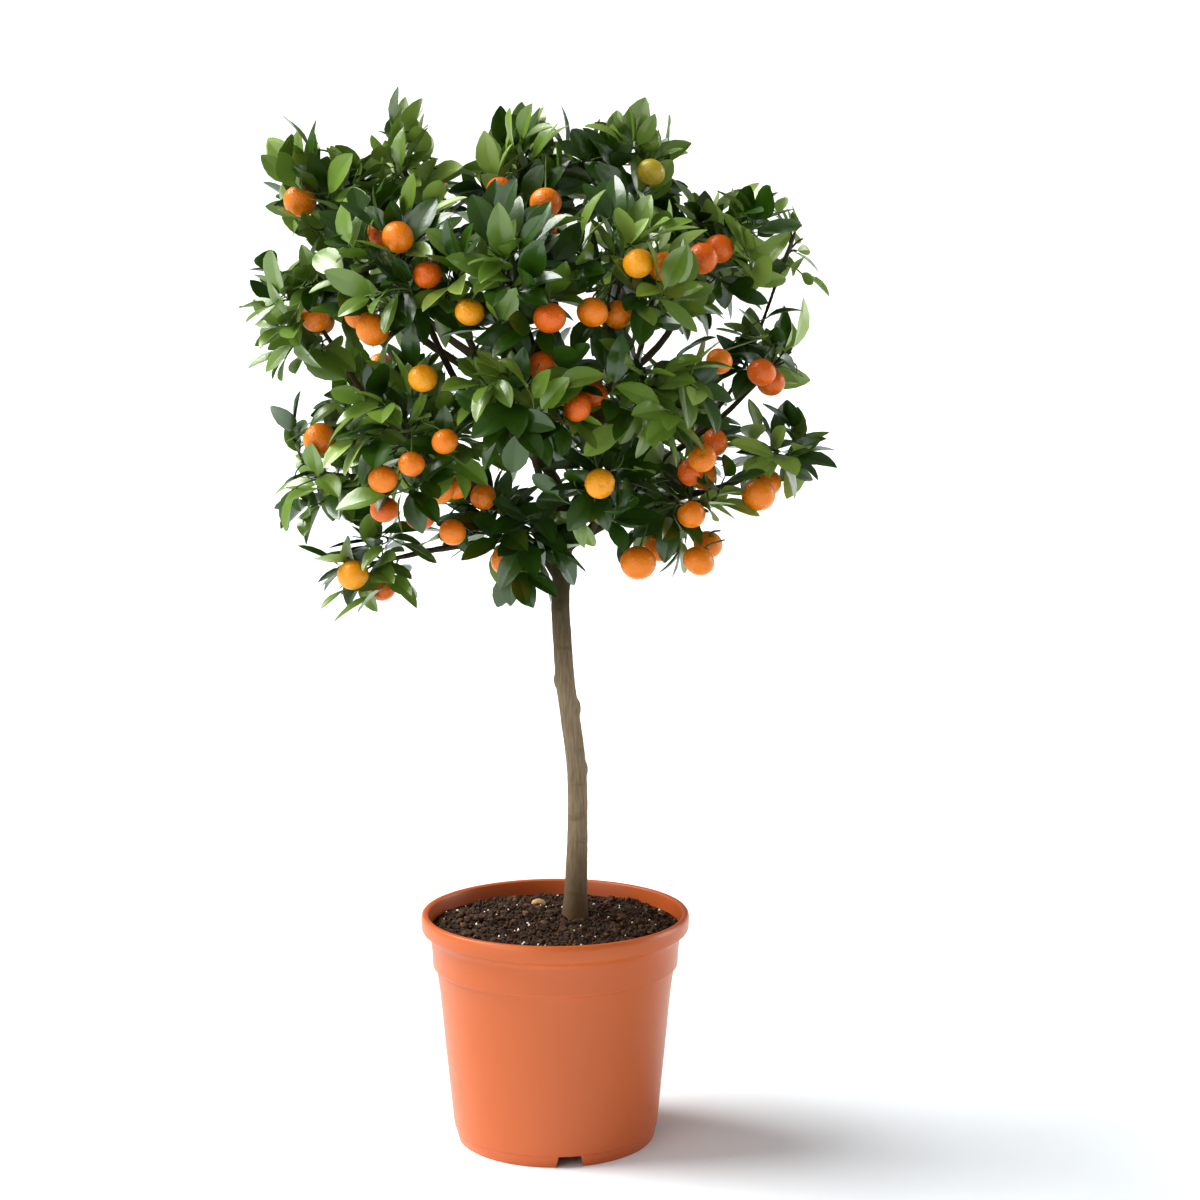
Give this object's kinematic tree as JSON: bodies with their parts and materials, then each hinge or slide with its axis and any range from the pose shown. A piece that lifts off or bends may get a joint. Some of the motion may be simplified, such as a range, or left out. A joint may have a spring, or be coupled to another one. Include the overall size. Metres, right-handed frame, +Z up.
{
  "type": "potted calamondin orange tree",
  "caption": "Small citrus tree grown as a standard, a round open crown with ripening fruit on a bare trunk, standing in a round moulded plastic nursery pot.",
  "frame": {"origin": "centre of the pot's foot, on the surface that the pot stands on", "axes": "+Z up along the pot's axis, -Y towards the side shown as the front, +X to the right of that front"},
  "size_m": [0.4795, 0.4409, 0.853],
  "materials": {
    "pot_plastic": "satin",
    "soil": "matte",
    "bark": "matte",
    "foliage": "satin"
  },
  "bodies": {
    "root": {"pot": "pot_plastic", "soil": "soil", "trunk": "bark", "bough_top_right": "bark", "bough_top_left": "bark", "bough_right_low": "bark", "bough_left_low": "bark", "bough_back_centre_low": "bark", "bough_lowest_left": "bark", "bough_right_mid": "bark", "bough_upper_left": "bark", "bough_top_centre": "bark", "bough_right_upper": "bark", "bough_right_shoot": "bark", "bough_left": "bark", "bough_low_right": "bark", "bough_low_centre_left": "bark", "bough_front_left_up": "bark", "bough_front_centre_up": "bark", "bough_front_right_up": "bark", "bough_front_left_low": "bark", "bough_front_centre": "bark", "bough_front_right": "bark", "bough_front_low_centre": "bark", "bough_back_left_up": "bark", "bough_back_centre_up": "bark", "bough_back_right_up": "bark", "bough_back_left_low": "bark", "bough_back_right_low": "bark", "mass_top_right": "foliage", "mass_top_left": "foliage", "mass_right_low": "foliage", "mass_left_low": "foliage", "mass_back_centre_low": "foliage", "mass_lowest_left": "foliage", "mass_right_mid": "foliage", "mass_upper_left": "foliage", "mass_top_centre": "foliage", "mass_right_upper": "foliage", "mass_right_shoot": "foliage", "mass_left": "foliage", "mass_low_right": "foliage", "mass_low_centre_left": "foliage", "mass_front_left_up": "foliage", "mass_front_centre_up": "foliage", "mass_front_right_up": "foliage", "mass_front_left_low": "foliage", "mass_front_centre": "foliage", "mass_front_right": "foliage", "mass_front_low_centre": "foliage", "mass_back_left_up": "foliage", "mass_back_centre_up": "foliage", "mass_back_right_up": "foliage", "mass_back_left_low": "foliage", "mass_back_right_low": "foliage"}
  },
  "joints": []
}
